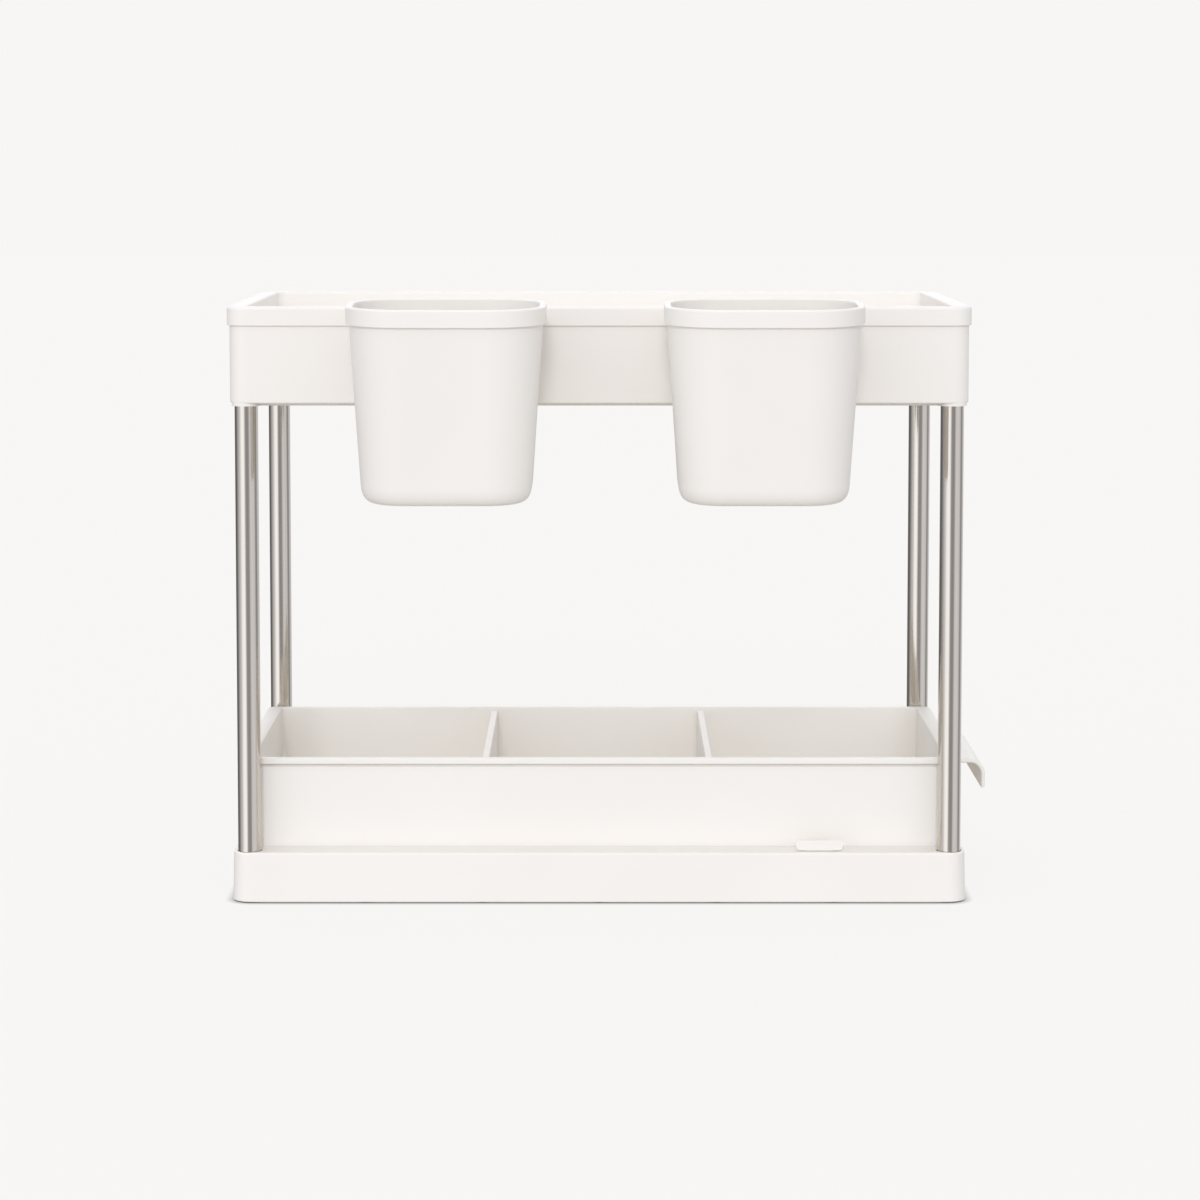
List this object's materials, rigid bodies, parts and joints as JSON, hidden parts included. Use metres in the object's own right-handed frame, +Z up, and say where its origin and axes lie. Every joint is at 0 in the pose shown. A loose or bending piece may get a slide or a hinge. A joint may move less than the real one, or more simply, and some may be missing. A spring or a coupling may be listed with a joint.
{
  "type": "cabinet organizer",
  "caption": "Two-tier organizer: channel base with a pull-out divided drawer, steel tubes, a deep top tray and cups hooked on its front rim.",
  "frame": {"origin": "on the floor, under the middle of the whole object's box with the drawer shut", "axes": "+X the way the drawer pulls out and the object's long side, +Z up, -Y the long side that the cups hang on"},
  "size_m": [0.3974, 0.2932, 0.3144],
  "materials": {
    "white_plastic": "satin moulded, warm white",
    "steel_tube": "lengthwise brushed stainless",
    "plug_plastic": "plain moulded",
    "zinc_screw": "zinc plated",
    "foot_rubber": "matte"
  },
  "bodies": {
    "frame": {"base": "white_plastic", "top_tray": "white_plastic", "badge": "white_plastic", "post_front_left": "steel_tube", "post_front_right": "steel_tube", "post_rear_left": "steel_tube", "post_rear_right": "steel_tube", "lower_plug_front_left": "plug_plastic", "lower_plug_front_right": "plug_plastic", "lower_plug_rear_left": "plug_plastic", "lower_plug_rear_right": "plug_plastic", "upper_plug_front_left": "plug_plastic", "upper_plug_front_right": "plug_plastic", "upper_plug_rear_left": "plug_plastic", "upper_plug_rear_right": "plug_plastic", "base_screw_front_left": "zinc_screw", "base_screw_front_right": "zinc_screw", "base_screw_rear_left": "zinc_screw", "base_screw_rear_right": "zinc_screw", "foot_front_left": "foot_rubber", "foot_front_right": "foot_rubber", "foot_rear_left": "foot_rubber", "foot_rear_right": "foot_rubber"},
    "drawer": {"drawer": "white_plastic"},
    "divider_left": {"divider_left": "white_plastic"},
    "divider_right": {"divider_right": "white_plastic"},
    "cup_left": {"cup_left": "white_plastic"},
    "cup_right": {"cup_right": "white_plastic"}
  },
  "joints": [
    {"name": "drawer_slide", "type": "slide", "parent": "frame", "child": "drawer", "axis": [1, 0, 0], "range_m": [0, 0.29]},
    {"name": "divider_left_lift", "type": "slide", "parent": "drawer", "child": "divider_left", "axis": [0, 0, 1], "range_m": [0, 0.07]},
    {"name": "divider_right_lift", "type": "slide", "parent": "drawer", "child": "divider_right", "axis": [0, 0, 1], "range_m": [0, 0.07]},
    {"name": "cup_left_lift", "type": "slide", "parent": "frame", "child": "cup_left", "axis": [0, 0, 1], "range_m": [0, 0.03]},
    {"name": "cup_right_lift", "type": "slide", "parent": "frame", "child": "cup_right", "axis": [0, 0, 1], "range_m": [0, 0.03]}
  ]
}
